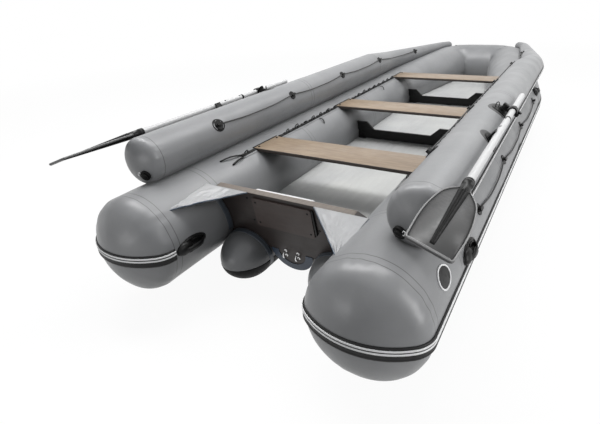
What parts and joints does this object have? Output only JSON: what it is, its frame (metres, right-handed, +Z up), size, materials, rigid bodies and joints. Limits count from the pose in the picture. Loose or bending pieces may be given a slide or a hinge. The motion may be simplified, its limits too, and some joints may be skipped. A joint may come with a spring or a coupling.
{
  "type": "inflatable boat",
  "caption": "Inflatable boat with doubled side tubes, twin keel tubes, a rigid transom, bench seats and stowed oars in swinging rowlocks.",
  "frame": {"origin": "on the ground under the middle of the boat's length and beam", "axes": "+X to starboard, +Y to the bow, +Z up"},
  "size_m": [1.8564, 5.619, 0.825],
  "materials": {
    "tube_fabric": "coated, satin",
    "floor_fabric": "coated, matt",
    "strake_rubber": "satin",
    "seat_board": "film-faced, satin",
    "rib_rubber": "matt",
    "rail_rubber": "matt",
    "transom_ply": "film-faced, satin",
    "motor_pad": "satin",
    "cuff_fabric": "coated",
    "ring_steel": "polished",
    "grip_rubber": "moulded, satin",
    "holder_rubber": "moulded",
    "line_rope": "braided",
    "valve_plastic": "moulded",
    "badge_plastic": "gloss",
    "rowlock_plastic": "moulded",
    "oar_tube": "gloss",
    "oar_blade_plastic": "moulded"
  },
  "bodies": {
    "hull": {"air_floor": "floor_fabric", "air_valve_port": "valve_plastic", "air_valve_starboard": "valve_plastic", "bow_grip_port": "grip_rubber", "bow_grip_starboard": "grip_rubber", "bow_nose": "tube_fabric", "bow_quarter_port": "tube_fabric", "bow_quarter_starboard": "tube_fabric", "floor_rib_aft": "rib_rubber", "floor_rib_forward": "rib_rubber", "grab_line_inner_port": "line_rope", "grab_line_inner_starboard": "line_rope", "grab_line_outer_port": "line_rope", "grab_line_outer_starboard": "line_rope", "hull_bottom": "tube_fabric", "keel_tube_port": "tube_fabric", "keel_tube_starboard": "tube_fabric", "line_holders_port": "holder_rubber", "line_holders_starboard": "holder_rubber", "main_tube_port": "tube_fabric", "main_tube_starboard": "tube_fabric", "motor_pad_aft": "motor_pad", "motor_pad_inner": "motor_pad", "name_badge_port": "badge_plastic", "name_badge_starboard": "badge_plastic", "oar_clip_port": "rowlock_plastic", "oar_clip_starboard": "rowlock_plastic", "rowlock_base_port": "rowlock_plastic", "rowlock_base_starboard": "rowlock_plastic", "rub_strake_port": "strake_rubber", "rub_strake_starboard": "strake_rubber", "seat_aft": "seat_board", "seat_forward": "seat_board", "seat_middle": "seat_board", "seat_rail_port": "rail_rubber", "seat_rail_starboard": "rail_rubber", "side_grip_port": "grip_rubber", "side_grip_starboard": "grip_rubber", "stern_grip_port": "grip_rubber", "stern_grip_starboard": "grip_rubber", "tow_rings": "ring_steel", "transom_board": "transom_ply", "transom_gusset_port": "tube_fabric", "transom_gusset_starboard": "tube_fabric", "tunnel_cuff": "cuff_fabric", "upper_strake_port": "strake_rubber", "upper_strake_starboard": "strake_rubber", "upper_tube_port": "tube_fabric", "upper_tube_starboard": "tube_fabric"},
    "oar_starboard": {"rowlock_fork_starboard": "rowlock_plastic", "oar_shaft_starboard": "oar_tube", "oar_blade_starboard": "oar_blade_plastic"},
    "oar_port": {"rowlock_fork_port": "rowlock_plastic", "oar_shaft_port": "oar_tube", "oar_blade_port": "oar_blade_plastic"}
  },
  "joints": [
    {"name": "oar_swing_starboard", "type": "hinge", "parent": "hull", "child": "oar_starboard", "pos_m": [0.79056, -1.2335, 0.78594], "axis": [0.5878, 0, 0.809], "range_deg": [0, 110]},
    {"name": "oar_swing_port", "type": "hinge", "parent": "hull", "child": "oar_port", "pos_m": [-0.79056, -1.2335, 0.78594], "axis": [0.5878, 0, -0.809], "range_deg": [0, 110]}
  ]
}
